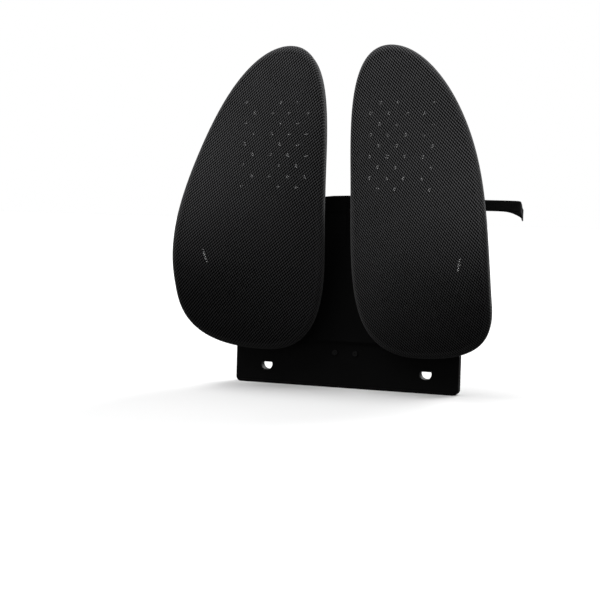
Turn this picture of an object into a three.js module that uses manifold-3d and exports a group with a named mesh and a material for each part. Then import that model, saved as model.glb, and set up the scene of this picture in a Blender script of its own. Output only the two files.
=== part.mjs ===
// A back support with two sprung wings, worn by a chair's backrest.
// Millimetres. +Z is up, -Y faces the sitter and +X is the viewer's right from in front.
// Depths (Y) are measured from the face that bears on the backrest, and heights (Z) from the
// back plate's bottom edge. The finished group is lowered so that its origin is the centre of
// the middle grip pad's rear face.
import * as THREE from "three";
import { mergeVertices } from "three/addons/utils/BufferGeometryUtils.js";
import Module from "manifold-3d";

const wasm = await Module();
wasm.setup();

// ---- Driving dimensions ----

const GAP = 0.3;
const ORIGIN_HEIGHT = 140;

const PLATE = {
  footWidth: 330,
  bodyWidth: 280,
  shoulder: 267,
  archRise: 3,
  footCorner: 7,
  bodyCorner: 12,
  flankLow: 54,
  flankMiddle: 79,
  flankHigh: 104,
  footFront: -16,
  bodyFront: -18.5,
  bodyBottom: 64,
  rear: -2.3,
  skin: 3,
  wall: 2.6,
  lip: 3.5,
};
const FOOT_HOLE = { x: 118, z: 27.5, radius: 8.5, tube: 11.5, flat: 3 };
const SPINE = { width: 92, bottom: 67, side: 270.4, top: 274, thickness: 3, groove: 1.2 };
const GROOVE = { width: 5, bottom: 203, crossBottom: 249, crossTop: 251 };
const REAR_COVER = { width: 58, bottom: 34, top: 256, thickness: 2.3, ledge: 7 };
const COVER_SCREW = { x: 15, z: 50 };
const PAD = { thickness: 2, centreWidth: 28, sideWidth: 16, sideX: 69, bottom: 76, top: 204 };
const PLATE_RIB = { heights: [112, 232], railWidth: 20, railMargin: 4 };

// The wing's front outline: four curves between its top, outer, bottom and inner points.
const WING = {
  top: [71, 476],
  outer: [222, 146],
  bottom: [111, 52],
  inner: [19, 275],
  centre: [112, 225],
  handles: {
    top: 67,
    outerUp: 201,
    outerDown: 31,
    bottomOut: 120,
    bottomIn: 101,
    innerDown: [1, -110],
    innerUp: 85,
    topIn: 63,
  },
  crown: 7,
  edgeRadius: 9,
  taper: 3,
  hem: 5,
  flange: 5.4,
  sheet: 3,
  points: 36,
};
const HUG = { depth: 61, height: 190, above: 140, below: 118 };
const RIM = { depth: 84, crest: 430, drop: 37, fall: 363, thickness: 13, extra: 8, curl: 6, curlBelow: 110 };
const RETAINER = { outer: 2.8, inner: 12.8, chamfer: 0.8, thickness: 2.6 };
const RIBS = { angles: [18, 90, 162, 234, 306], width: 2.6, near: 2, far: 11 };
const VENT = { radius: 4.5, across: 42, up: 27, margin: 30, sides: 4 };

// The wing turns on an upright pin in the pivot block and tilts on a level pin in the swing arm.
const PITCH = { x: 108, y: -70, z: 205, turn: THREE.MathUtils.degToRad(-16.6) };
const YAW = { behind: 30, barrel: 10, halfHeight: 20, lug: 7, pin: 4, bush: 6.7 };
const HUB = {
  radius: 27,
  rear: -11.7,
  front: -15.7,
  boss: -16,
  lugWidth: 22,
  lugRadius: 9,
  lugBase: 14,
  screws: 19,
};
const FORK = {
  inside: 11.6,
  cheek: 6,
  radius: 10.5,
  flare: 4,
  base: 12,
  web: 6,
  pin: 3.5,
  bush: 6,
  head: 5.5,
  headHeight: 2,
};
const BLOCK = {
  halfWidth: 24,
  halfHeight: 36,
  base: 5,
  screwX: 19,
  screwZ: 30,
  lugHalfWidth: 13.5,
  corner: 6,
};
const CLIP = { outer: 6.8, inner: 3.4, thickness: 1.1, drop: 1.7 };
const SCREW = { head: 3.8, headHeight: 2.3, shank: 2, hole: 2.3, socket: 1.5, socketDepth: 1.2 };

// The elastic strap leaves the plate's top corners, goes round the backrest's two edges and
// closes behind it.
const STRAP = {
  width: 15,
  thickness: 1.5,
  height: 265,
  edgeX: 238,
  rearY: 42,
  corner: 14,
  sag: 13,
  sagAt: 27,
  sagReach: 18,
  barX: 160.5,
  barY: -6.5,
};
const LOOP = {
  rear: -5,
  thickness: 3,
  ring: [144, 164],
  ringHalfHeight: 14,
  slot: [151.5, 157],
  slotHalfHeight: 9.5,
  arm: [110, 150],
  tongue: [243, 259],
  screwX: 122,
  screwZ: 251,
};
const SLIDER = { x: 92, halfWidth: 13, halfHeight: 12, bar: 2.2, lift: 4.4, slotHalfHeight: 9 };
const BUCKLE = {
  x: 62,
  split: 8,
  halfHeight: 13,
  halfDepth: 4.5,
  length: 34,
  plug: 20,
  cavity: 14,
  tail: 10,
};

const FINISH = {
  fabric: { color: 0x26262a, roughness: 0.95, metalness: 0 },
  plastic: { color: 0x101012, roughness: 0.55, metalness: 0 },
  rubber: { color: 0x18181a, roughness: 0.85, metalness: 0 },
  steel: { color: 0x8a8c90, roughness: 0.35, metalness: 1 },
  webbing: { color: 0x141416, roughness: 0.9, metalness: 0 },
};

// ---- Solids ----

function solid(geometry) {
  const plain = geometry.index ? geometry.toNonIndexed() : geometry;
  const bare = new THREE.BufferGeometry();
  bare.setAttribute("position", plain.getAttribute("position"));
  const merged = mergeVertices(bare, 1e-4);
  const vertProperties = merged.getAttribute("position").array;
  const triVerts = new Uint32Array(merged.index.array);
  return new wasm.Manifold(new wasm.Mesh({ numProp: 3, vertProperties, triVerts }));
}

function join(...solids) {
  return solids.reduce((sum, next) => sum.add(next));
}

function cut(body, ...tools) {
  return tools.reduce((rest, tool) => rest.subtract(tool), body);
}

function box([x0, x1], [y0, y1], [z0, z1]) {
  const geometry = new THREE.BoxGeometry(x1 - x0, y1 - y0, z1 - z0);
  geometry.translate((x0 + x1) / 2, (y0 + y1) / 2, (z0 + z1) / 2);
  return solid(geometry);
}

// Upright, level-across and fore-and-aft rods between two places on their own axis.
function rodZ(radius, [z0, z1], x, y, sides = 12) {
  const geometry = new THREE.CylinderGeometry(radius, radius, z1 - z0, sides);
  geometry.rotateX(Math.PI / 2);
  geometry.translate(x, y, (z0 + z1) / 2);
  return solid(geometry);
}

function rodX(radius, [x0, x1], y, z, sides = 12) {
  const geometry = new THREE.CylinderGeometry(radius, radius, x1 - x0, sides);
  geometry.rotateZ(-Math.PI / 2);
  geometry.translate((x0 + x1) / 2, y, z);
  return solid(geometry);
}

function rodY(radius, [y0, y1], x, z, sides = 12) {
  const geometry = new THREE.CylinderGeometry(radius, radius, y1 - y0, sides);
  geometry.translate(x, (y0 + y1) / 2, z);
  return solid(geometry);
}

// A shape drawn across and up (X, Z), as thick as y0 to y1.
function panel(shape, [y0, y1], curveSegments = 4) {
  const options = { depth: y1 - y0, bevelEnabled: false, curveSegments };
  const geometry = new THREE.ExtrudeGeometry(shape, options);
  geometry.rotateX(Math.PI / 2);
  geometry.translate(0, y1, 0);
  return solid(geometry);
}

// A shape drawn in plan (X, Y), from z0 up to z1.
function slab(shape, [z0, z1], curveSegments = 6) {
  const options = { depth: z1 - z0, bevelEnabled: false, curveSegments };
  const geometry = new THREE.ExtrudeGeometry(shape, options);
  geometry.translate(0, 0, z0);
  return solid(geometry);
}

// A shape drawn in side view (Y, Z), from x0 to x1.
function sideways(shape, [x0, x1], curveSegments = 6) {
  const options = { depth: x1 - x0, bevelEnabled: false, curveSegments };
  const geometry = new THREE.ExtrudeGeometry(shape, options);
  const [across, up, along] = [[0, 1, 0], [0, 0, 1], [1, 0, 0]].map((v) => new THREE.Vector3(...v));
  geometry.applyMatrix4(new THREE.Matrix4().makeBasis(across, up, along));
  geometry.translate(x0, 0, 0);
  return solid(geometry);
}

function polygon(points) {
  return new THREE.Shape(points.map(([x, y]) => new THREE.Vector2(x, y)));
}

function roundedRectangle([x0, x1], [y0, y1], radius) {
  const shape = new THREE.Shape();
  shape.moveTo(x0 + radius, y0);
  shape.absarc(x1 - radius, y0 + radius, radius, -Math.PI / 2, 0);
  shape.absarc(x1 - radius, y1 - radius, radius, 0, Math.PI / 2);
  shape.absarc(x0 + radius, y1 - radius, radius, Math.PI / 2, Math.PI);
  shape.absarc(x0 + radius, y0 + radius, radius, Math.PI, 1.5 * Math.PI);
  return shape;
}

function piece(name, manifold, finish) {
  const { vertProperties, triVerts } = manifold.getMesh();
  const geometry = new THREE.BufferGeometry();
  geometry.setAttribute("position", new THREE.BufferAttribute(vertProperties, 3));
  geometry.setIndex(new THREE.BufferAttribute(triVerts, 1));
  geometry.computeVertexNormals();
  const mesh = new THREE.Mesh(geometry, new THREE.MeshStandardMaterial(FINISH[finish]));
  mesh.name = name;
  return mesh;
}

// ---- Back plate ----

// The plate's outline, drawn in by an inset: a wide foot, S-shaped flanks and a flat arch on top.
function plateShape(inset) {
  const foot = PLATE.footWidth / 2 - inset;
  const body = PLATE.bodyWidth / 2 - inset;
  const top = PLATE.shoulder - inset;
  const low = PLATE.footCorner - inset;
  const high = PLATE.bodyCorner - inset;
  const { flankLow, flankMiddle, flankHigh } = PLATE;
  const shape = new THREE.Shape();
  shape.moveTo(low - foot, inset);
  shape.absarc(foot - low, inset + low, low, -Math.PI / 2, 0);
  shape.lineTo(foot, flankLow);
  shape.bezierCurveTo(foot, flankMiddle, body, flankMiddle, body, flankHigh);
  shape.absarc(body - high, top - high, high, 0, Math.PI / 2);
  shape.quadraticCurveTo(0, top + 2 * PLATE.archRise, high - body, top);
  shape.absarc(high - body, top - high, high, Math.PI / 2, Math.PI);
  shape.lineTo(-body, flankHigh);
  shape.bezierCurveTo(-body, flankMiddle, -foot, flankMiddle, -foot, flankLow);
  shape.absarc(low - foot, inset + low, low, Math.PI, 1.5 * Math.PI);
  return shape;
}

// The places on each side of the plate where a screw enters it.
function blockScrewPlaces() {
  const x = yawAxis().x;
  return [-1, 1].flatMap((i) => [-1, 1].map((j) => [x + i * BLOCK.screwX, PITCH.z + j * BLOCK.screwZ]));
}

function yawAxis() {
  const x = PITCH.x - YAW.behind * Math.sin(PITCH.turn);
  const y = PITCH.y + YAW.behind * Math.cos(PITCH.turn);
  return { x, y };
}

// The moulding without its holes: skin, outside wall, raised body and bottom lip.
function plateTray() {
  const { footFront, bodyFront, bodyBottom, rear, skin, wall, lip } = PLATE;
  const full = PLATE.footWidth;
  const upper = (lowest) => box([-full, full], [2 * bodyFront, 1], [lowest, 2 * full]);
  const raised = panel(plateShape(0), [bodyFront, rear]).intersect(upper(bodyBottom));
  const pocket = panel(plateShape(wall), [footFront + skin, 1]);
  const upperPocket = panel(plateShape(wall), [bodyFront + skin, 1]).intersect(upper(bodyBottom + skin));
  const lipEnd = full / 2 - PLATE.footCorner;
  const bottomLip = box([-lipEnd, lipEnd], [bodyFront, footFront + 1], [0, lip]);
  const tray = join(panel(plateShape(0), [footFront, rear]), raised, bottomLip);
  return cut(tray, pocket, upperPocket);
}

// Rear ribs: two spine walls, cross ribs and a T-shaped rail under each side grip pad.
function plateRibs() {
  const { footFront, bodyFront, bodyBottom, rear, skin, wall } = PLATE;
  const depth = [bodyFront + 1, rear];
  const half = REAR_COVER.width / 2 + GAP;
  const ribs = [];
  for (const side of [-1, 1]) {
    const across = (a, b) => [Math.min(side * a, side * b), Math.max(side * a, side * b)];
    const rail = PAD.sideX;
    ribs.push(box(across(half, half + wall), depth, [1, PLATE.shoulder]));
    ribs.push(box(across(rail - wall / 2, rail + wall / 2), depth, [1, PLATE.shoulder]));
    const railHeight = [PAD.bottom - PLATE_RIB.railMargin, PAD.top + PLATE_RIB.railMargin];
    const railHalf = PLATE_RIB.railWidth / 2;
    ribs.push(box(across(rail - railHalf, rail + railHalf), [rear - wall, rear], railHeight));
    for (const height of [bodyBottom, ...PLATE_RIB.heights]) {
      ribs.push(box(across(half, PLATE.footWidth / 2), depth, [height, height + wall]));
    }
  }
  const seat = [bodyFront + 1, rear - REAR_COVER.thickness - GAP];
  for (const edge of [REAR_COVER.bottom, REAR_COVER.top]) {
    const height = [edge - REAR_COVER.ledge / 2, edge + REAR_COVER.ledge / 2];
    ribs.push(box([-half - 1, half + 1], seat, height));
  }
  const room = PLATE.footWidth;
  const aheadOfFoot = box([-room, room], [2 * bodyFront, footFront + 1], [-1, bodyBottom + skin]);
  return cut(join(...ribs).intersect(panel(plateShape(0.5), [bodyFront + 1, rear])), aheadOfFoot);
}

// A round hole with a flat top.
function footHole(side) {
  const { x, z, radius, flat } = FOOT_HOLE;
  const depth = [PLATE.footFront - 5, 5];
  const above = box([-PLATE.footWidth, PLATE.footWidth], depth, [z + flat, z + 2 * radius]);
  return cut(rodY(radius, depth, side * x, z, 24), above);
}

function backPlate() {
  const { bodyFront, footFront, rear } = PLATE;
  const bosses = [];
  const holes = [];
  for (const side of [-1, 1]) {
    for (const [x, z] of blockScrewPlaces()) {
      bosses.push(rodY(6, [bodyFront + 1, rear - 3], side * x, z, 8));
      holes.push(rodY(SCREW.hole, [bodyFront - 1, rear - 5], side * x, z, 8));
    }
    bosses.push(rodY(FOOT_HOLE.tube, [footFront + 1, rear], side * FOOT_HOLE.x, FOOT_HOLE.z, 16));
    holes.push(footHole(side));
    const seat = LOOP.rear - LOOP.thickness - GAP;
    bosses.push(rodY(5, [bodyFront + 1, seat], side * LOOP.screwX, LOOP.screwZ, 8));
    holes.push(rodY(SCREW.hole, [bodyFront + 2, 0], side * LOOP.screwX, LOOP.screwZ, 8));
    const notch = [-20, 20].map((off) => side * (PLATE.bodyWidth / 2) + off);
    holes.push(box(notch, [seat, 5], [LOOP.tongue[0] - GAP, LOOP.tongue[1] + GAP]));
    const ledge = rear - REAR_COVER.thickness - GAP;
    bosses.push(rodY(5, [footFront + 1, ledge], side * COVER_SCREW.x, COVER_SCREW.z, 8));
    holes.push(rodY(SCREW.hole, [footFront - 5, 0], side * COVER_SCREW.x, COVER_SCREW.z, 8));
  }
  return cut(join(plateTray(), plateRibs(), ...bosses), ...holes);
}

// The front cover of the column between the wings: an arched top, a centre groove and a cross line.
function spineCover() {
  const { width, bottom, side, top, thickness, groove } = SPINE;
  const rear = PLATE.bodyFront - GAP;
  const front = rear - thickness;
  const shape = new THREE.Shape();
  shape.moveTo(-width / 2, bottom);
  shape.lineTo(width / 2, bottom);
  shape.lineTo(width / 2, side);
  shape.quadraticCurveTo(0, 2 * top - side, -width / 2, side);
  const half = GROOVE.width / 2;
  const upright = box([-half, half], [front - 1, front + groove], [GROOVE.bottom, top + 5]);
  const line = box([-width, width], [front - 1, front + groove], [GROOVE.crossBottom, GROOVE.crossTop]);
  return cut(panel(shape, [front, rear]), upright, line);
}

// Closes the back of the spine's box section and carries the middle grip pad.
function rearCover() {
  const { width, bottom, top, thickness } = REAR_COVER;
  const shape = roundedRectangle([-width / 2, width / 2], [bottom, top], 3);
  const plate = panel(shape, [PLATE.rear - thickness, PLATE.rear], 3);
  const { x, z } = COVER_SCREW;
  const holes = [-1, 1].map((side) => rodY(SCREW.hole, [-20, 5], side * x, z, 8));
  return cut(plate, ...holes);
}

function gripPad(width, x) {
  const shape = roundedRectangle([x - width / 2, x + width / 2], [PAD.bottom, PAD.top], 5);
  return panel(shape, [-PAD.thickness, 0], 4);
}

// ---- Wings ----

const hugAt = (z) => Math.exp(-(((z - HUG.height) / (z > HUG.height ? HUG.above : HUG.below)) ** 2));

// The depth of the wing's rim plane: it hugs the sitter's sides most at the waist.
function rimDepth(x, z) {
  const inner = WING.inner[0];
  const share = (x - inner) / (WING.outer[0] - inner);
  const drop = RIM.drop * ((RIM.crest - z) / RIM.fall) ** 2;
  const below = Math.max(0, RIM.curlBelow - z) / (RIM.curlBelow - WING.bottom[1]);
  const curl = RIM.curl * below ** 2;
  return drop + curl - RIM.depth - HUG.depth * hugAt(z) * share;
}

function rimThickness(x, z) {
  const share = (x - WING.inner[0]) / (WING.outer[0] - WING.inner[0]);
  return RIM.thickness + RIM.extra * hugAt(z) * share;
}

function wingOutline() {
  const { top, outer, bottom, inner, handles } = WING;
  const from = ([x, z], dx, dz) => [x + dx, z + dz];
  const shape = new THREE.Shape();
  shape.moveTo(...top);
  shape.bezierCurveTo(...from(top, handles.top, 0), ...from(outer, 0, handles.outerUp), ...outer);
  const low = from(bottom, handles.bottomOut, 0);
  shape.bezierCurveTo(...from(outer, 0, -handles.outerDown), ...low, ...bottom);
  shape.bezierCurveTo(...from(bottom, -handles.bottomIn, 0), ...from(inner, ...handles.innerDown), ...inner);
  shape.bezierCurveTo(...from(inner, 0, handles.innerUp), ...from(top, -handles.topIn, 0), ...top);
  return shape.getSpacedPoints(WING.points).slice(0, -1);
}

// One ring of points round the wing: a share of the outline's size less an inset, moved forward
// of the rim plane by "ahead", or back by "ahead" below 0, and by "back" times the rim's thickness.
function ringPoints({ share = 1, inset = 0, ahead = 0, back = 0 }) {
  const [cx, cz] = WING.centre;
  return wingOutline().map((p) => {
    const radius = Math.hypot(p.x - cx, p.y - cz);
    const scale = (radius * share - inset) / radius;
    const x = cx + (p.x - cx) * scale;
    const z = cz + (p.y - cz) * scale;
    return [x, rimDepth(x, z) - ahead + back * rimThickness(x, z), z];
  });
}

// A closed surface over rings in order. It ends in a point at the wing's centre at both ends, or
// joins its last ring to its first if it is a loop. Each four-sided face is split along the same
// diagonal whichever way the rings run, so two surfaces over the same shares stay parallel.
function ringSolid(rings, loop = false) {
  const [cx, cz] = WING.centre;
  const rows = rings.map(ringPoints);
  const reach = rows.map(([p]) => Math.hypot(p[0] - cx, p[2] - cz));
  const count = rows[0].length;
  const points = rows.flat();
  const faces = [];
  const bands = loop ? rings.length : rings.length - 1;
  for (let r = 0; r < bands; r += 1) {
    const after = (r + 1) % rings.length;
    const a = r * count;
    const b = after * count;
    for (let i = 0; i < count; i += 1) {
      const next = (i + 1) % count;
      if (reach[after] >= reach[r]) {
        faces.push([a + i, b + next, b + i], [a + i, a + next, b + next]);
      } else {
        faces.push([a + i, a + next, b + i], [a + next, b + next, b + i]);
      }
    }
  }
  if (!loop) {
    const last = (rings.length - 1) * count;
    const centre = (ahead) => [cx, rimDepth(cx, cz) - ahead, cz];
    points.push(centre(rings[0].ahead + (rings[0].tip ?? 0)), centre(rings.at(-1).ahead));
    for (let i = 0; i < count; i += 1) {
      const next = (i + 1) % count;
      faces.push([points.length - 2, next, i], [points.length - 1, last + i, last + next]);
    }
  }
  const geometry = new THREE.BufferGeometry();
  geometry.setAttribute("position", new THREE.Float32BufferAttribute(points.flat(), 3));
  geometry.setIndex(faces.flat());
  return solid(geometry);
}

// The padded mesh cover: a crowned front, a rounded edge and a skirt round the shell's flange.
function wingCover() {
  const { crown, edgeRadius: edge, taper, hem } = WING;
  const front = [0.3, 0.55, 0.75, 0.9].map((share) => ({
    share,
    inset: edge * share,
    ahead: edge + crown * (1 - share ** 2),
    tip: crown * 0.09,
  }));
  return ringSolid([
    ...front,
    { inset: edge, ahead: edge },
    { inset: edge * 0.3, ahead: edge * 0.7 },
    { ahead: 0 },
    { inset: taper, back: 1 },
    { inset: hem, back: 1 },
    { inset: hem, ahead: -0.5 },
    { share: 0.7, ahead: -0.5 },
    { share: 0.3, ahead: -0.5 },
  ]);
}

// A layer behind the wing's rim plane, used to trim what stands on the shell's back.
function wingLayer(near, far) {
  return ringSolid([
    { share: 0.3, ahead: -near },
    { share: 0.7, ahead: -near },
    { inset: 7, ahead: -near },
    { inset: 7, ahead: -far },
    { share: 0.7, ahead: -far },
    { share: 0.3, ahead: -far },
  ]);
}

// The vents' places: a staggered lattice, clear of the rim, the hub's boss and the ribs.
function ventPlaces() {
  const outline = wingOutline();
  const [cx, cz] = WING.centre;
  const places = [];
  for (let row = -9; row <= 13; row += 1) {
    for (let column = -5; column <= 5; column += 1) {
      const x = cx + (column + (row % 2 ? 0.5 : 0)) * VENT.across;
      const z = cz + row * VENT.up;
      const away = Math.min(...outline.map((p) => Math.hypot(p.x - x, p.y - z)));
      const inside = outline.filter((p, i) => {
        const q = outline[(i + 1) % outline.length];
        return p.y > z !== q.y > z && x < p.x + ((z - p.y) / (q.y - p.y)) * (q.x - p.x);
      }).length % 2;
      const hub = Math.hypot(x - PITCH.x, z - PITCH.z) < HUB.radius + 12;
      if (inside && away > VENT.margin && !hub && !onRib(x, z)) {
        places.push([x, z]);
      }
    }
  }
  return places;
}

function ribAngle(degrees) {
  const angle = THREE.MathUtils.degToRad(degrees);
  return [Math.cos(angle), Math.sin(angle)];
}

function onRib(x, z) {
  return RIBS.angles.map(ribAngle).some(([c, s]) => {
    const along = (x - PITCH.x) * c + (z - PITCH.z) * s;
    const off = (z - PITCH.z) * c - (x - PITCH.x) * s;
    return along > 0 && Math.abs(off) < VENT.radius + RIBS.width;
  });
}

// Five ribs that run out from the hub's boss to the shell's flange.
function shellRibs() {
  const bars = RIBS.angles.map((degrees) => {
    const geometry = new THREE.BoxGeometry(300, 200, RIBS.width);
    geometry.translate(150, 0, 0);
    geometry.rotateY(-THREE.MathUtils.degToRad(degrees));
    geometry.translate(PITCH.x, PITCH.y, PITCH.z);
    return solid(geometry);
  });
  return join(...bars).intersect(wingLayer(RIBS.near, RIBS.far));
}

const hubScrewPlaces = [90, 210, 330].map(ribAngle).map(([c, s]) => [HUB.screws * c, HUB.screws * s]);

// Moves a solid from the hub's own frame, whose origin is the tilt pin's centre, to the wing's.
function fromHub(manifold) {
  const turned = new THREE.Matrix4().makeRotationZ(PITCH.turn);
  turned.setPosition(PITCH.x, PITCH.y, PITCH.z);
  return manifold.transform(turned.elements);
}

// The perforated shell: a sheet with a turned-back flange, a flat boss for the hub and ribs.
function wingShell() {
  const { flange, sheet } = WING;
  const skin = ringSolid([
    { share: 0.3, ahead: -1 },
    { share: 0.7, ahead: -1 },
    { inset: flange, ahead: -1 },
    { inset: flange, back: 1 },
    { inset: flange + sheet, back: 1 },
    { inset: flange + sheet, ahead: -1 - sheet },
    { share: 0.7, ahead: -1 - sheet },
    { share: 0.3, ahead: -1 - sheet },
  ]);
  const vents = ventPlaces().map(([x, z]) => {
    const y = rimDepth(x, z);
    return rodY(VENT.radius, [y - 10, y + 15], x, z, VENT.sides);
  });
  const boss = fromHub(rodY(HUB.radius + 3, [-50, HUB.boss], 0, 0, 16)).intersect(wingLayer(2, 60));
  const screwHoles = hubScrewPlaces.map(([x, z]) => fromHub(rodY(SCREW.hole, [-21, 0], x, z, 8)));
  const seat = fromHub(rodY(HUB.radius + 2, [HUB.boss, 60], 0, 0, 16));
  return cut(join(cut(skin, ...vents), shellRibs(), boss), seat, ...screwHoles);
}

// The ring that clamps the mesh cover's hem against the shell's flange.
function coverRetainer() {
  const { outer, inner, chamfer, thickness } = RETAINER;
  return ringSolid(
    [
      { inset: outer, back: 1, ahead: -GAP },
      { inset: outer + chamfer, back: 1, ahead: -thickness },
      { inset: inner - chamfer, back: 1, ahead: -thickness },
      { inset: inner, back: 1, ahead: -GAP },
    ],
    true,
  );
}

// ---- Pivot of one wing ----

// The hub screwed to the shell's boss, with a lug that tilts on the level pin.
function wingHub() {
  const { radius, front, rear, lugWidth, lugRadius, lugBase } = HUB;
  const shape = new THREE.Shape();
  shape.moveTo(rear - 1, -lugBase);
  shape.absarc(0, 0, lugRadius, -Math.PI / 2, Math.PI / 2);
  shape.lineTo(rear - 1, lugBase);
  const lug = sideways(shape, [-lugWidth / 2, lugWidth / 2]);
  const holes = hubScrewPlaces.map(([x, z]) => rodY(SCREW.hole, [front - 1, rear + 1], x, z, 8));
  const bore = rodX(FORK.bush + GAP, [-lugWidth, lugWidth], 0, 0);
  return fromHub(cut(join(rodY(radius, [front, rear], 0, 0, 16), lug), bore, ...holes));
}

// The arm between the two pins: a fork in front and a barrel behind.
function swingArm() {
  const { inside, cheek, radius, flare, base, web: deep } = FORK;
  const outside = inside + cheek;
  const high = radius + flare;
  const shape = new THREE.Shape();
  shape.moveTo(0, -radius);
  shape.lineTo(base + 2, -high);
  shape.lineTo(base + 2, high);
  shape.lineTo(0, radius);
  shape.absarc(0, 0, radius, Math.PI / 2, 1.5 * Math.PI);
  const cheeks = [-1, 1].map((side) => {
    const across = [side * inside, side * outside].sort((a, b) => a - b);
    return sideways(shape, across);
  });
  const web = slab(
    polygon([
      [-outside, base],
      [outside, base],
      [outside, base + deep],
      [YAW.barrel - 1, YAW.behind],
      [1 - YAW.barrel, YAW.behind],
      [-outside, base + deep],
    ]),
    [-high, high],
  );
  const barrel = rodZ(YAW.barrel, [-YAW.halfHeight, YAW.halfHeight], 0, YAW.behind, 14);
  const yawBore = rodZ(YAW.bush + GAP, [-50, 50], 0, YAW.behind, 14);
  const pitchBore = rodX(FORK.pin + GAP, [-50, 50], 0, 0);
  return fromHub(cut(join(...cheeks, web, barrel), yawBore, pitchBore));
}

function pitchPin() {
  const outside = FORK.inside + FORK.cheek;
  const pin = rodX(FORK.pin, [-outside - 1, outside + 1], 0, 0);
  const heads = [-1, 1].map((side) => {
    const ends = [side * (outside + GAP), side * (outside + GAP + FORK.headHeight)].sort((a, b) => a - b);
    return rodX(FORK.head, ends, 0, 0);
  });
  return fromHub(join(pin, ...heads));
}

function pitchBush() {
  const half = HUB.lugWidth / 2;
  const sleeve = rodX(FORK.bush, [-half, half], 0, 0);
  return fromHub(cut(sleeve, rodX(FORK.pin + GAP, [-50, 50], 0, 0)));
}

function yawBush() {
  const sleeve = rodZ(YAW.bush, [-YAW.halfHeight, YAW.halfHeight], 0, YAW.behind, 14);
  return fromHub(cut(sleeve, rodZ(YAW.pin + GAP, [-50, 50], 0, YAW.behind)));
}

// The upright pin: a headed rod with a groove for its clip, turned about its own axis.
function yawPin() {
  const top = YAW.halfHeight + YAW.lug + 2 * GAP;
  const profile = [
    [0, -top - 4],
    [YAW.pin, -top - 4],
    [YAW.pin, -top - 2],
    [3.1, -top - 2],
    [3.1, -top - GAP],
    [YAW.pin, -top - GAP],
    [YAW.pin, top],
    [6.5, top],
    [6.5, top + 1.8],
    [5, top + 2.8],
    [0, top + 2.8],
  ];
  const geometry = new THREE.LatheGeometry(profile.map((p) => new THREE.Vector2(...p)), 12);
  geometry.rotateX(Math.PI / 2);
  geometry.translate(0, YAW.behind, 0);
  return fromHub(solid(geometry));
}

// A spring clip in the pin's groove, open over a sixth of a turn.
function yawClip() {
  const low = -YAW.halfHeight - YAW.lug - 2 * GAP - CLIP.drop;
  const shape = new THREE.Shape();
  const open = Math.PI / 6;
  shape.absarc(0, 0, CLIP.outer, open, 2 * Math.PI - open);
  shape.absarc(0, 0, CLIP.inner, 2 * Math.PI - open, open, true);
  return fromHub(slab(shape, [low, low + CLIP.thickness]).translate([0, YAW.behind, 0]));
}

// The block on the plate's front that carries the upright pin between its two lugs.
function pivotBlock() {
  const { x, y } = yawAxis();
  const { halfWidth, halfHeight, base, lugHalfWidth, corner } = BLOCK;
  const rear = PLATE.bodyFront - GAP;
  const height = [PITCH.z - halfHeight, PITCH.z + halfHeight];
  const shape = roundedRectangle([x - halfWidth, x + halfWidth], height, corner);
  const lug = new THREE.Shape();
  lug.moveTo(x + lugHalfWidth, rear - 1);
  lug.lineTo(x - lugHalfWidth, rear - 1);
  lug.absarc(x, y, YAW.barrel, Math.PI, 2 * Math.PI);
  const near = YAW.halfHeight + GAP;
  const upper = slab(lug, [PITCH.z + near, PITCH.z + near + YAW.lug], 4);
  const lower = slab(lug, [PITCH.z - near - YAW.lug, PITCH.z - near], 4);
  const bore = rodZ(YAW.pin + GAP, [PITCH.z - 60, PITCH.z + 60], x, y);
  const holes = blockScrewPlaces().map(([sx, sz]) => rodY(SCREW.hole, [rear - 20, 0], sx, sz, 8));
  return cut(join(panel(shape, [rear - base, rear], 4), upper, lower), bore, ...holes);
}

// A socket-head screw along Y: its head stands in front of "seat" and its shank runs back from it.
// A screw driven from behind has a direction of -1.
function screw(x, z, seat, length, direction = 1) {
  const along = (a, b) => [seat + direction * a, seat + direction * b].sort((p, q) => p - q);
  const head = rodY(SCREW.head, along(-GAP / 2 - SCREW.headHeight, -GAP / 2), x, z, 8);
  const shank = rodY(SCREW.shank, along(-1, length), x, z, 8);
  const { headHeight, socketDepth } = SCREW;
  const socket = rodY(SCREW.socket, along(-headHeight - 1, socketDepth - headHeight), x, z, 6);
  return cut(join(head, shank), socket);
}

// ---- Strap and its hardware ----

// The loop bracket at the plate's top corner: a tongue inside the plate and a slotted ring outside.
function strapLoop() {
  const { rear, thickness, tongue, screwX, screwZ } = LOOP;
  const around = (half) => [STRAP.height - half, STRAP.height + half];
  const ring = roundedRectangle(LOOP.ring, around(LOOP.ringHalfHeight), 4);
  const arm = roundedRectangle(LOOP.arm, tongue, 4);
  const y = [rear - thickness, rear];
  const slot = panel(roundedRectangle(LOOP.slot, around(LOOP.slotHalfHeight), 2), [-20, 5], 3);
  const hole = rodY(SCREW.hole, [-20, 5], screwX, screwZ, 8);
  return cut(join(panel(ring, y, 4), panel(arm, y, 4)), slot, hole);
}

// The strap sags where it turns round the backrest's edge, and less the further it is from there.
function strapSag(x, y) {
  const away = Math.hypot(STRAP.edgeX - x, y - STRAP.sagAt);
  return STRAP.sag * Math.exp(-((away / STRAP.sagReach) ** 2));
}

// A ribbon that follows a line in plan, as wide as the strap and as thick as its webbing.
function ribbon(path) {
  const half = STRAP.thickness / 2;
  const sides = [-half, half].map((off) =>
    path.map((p, i) => {
      const before = path[Math.max(i - 1, 0)];
      const after = path[Math.min(i + 1, path.length - 1)];
      const along = after.clone().sub(before).normalize();
      return new THREE.Vector2(p.x - along.y * off, p.y + along.x * off);
    }),
  );
  const shape = new THREE.Shape([...sides[0], ...sides[1].reverse()]);
  return slab(shape, [STRAP.height - STRAP.width / 2, STRAP.height + STRAP.width / 2]);
}

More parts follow.
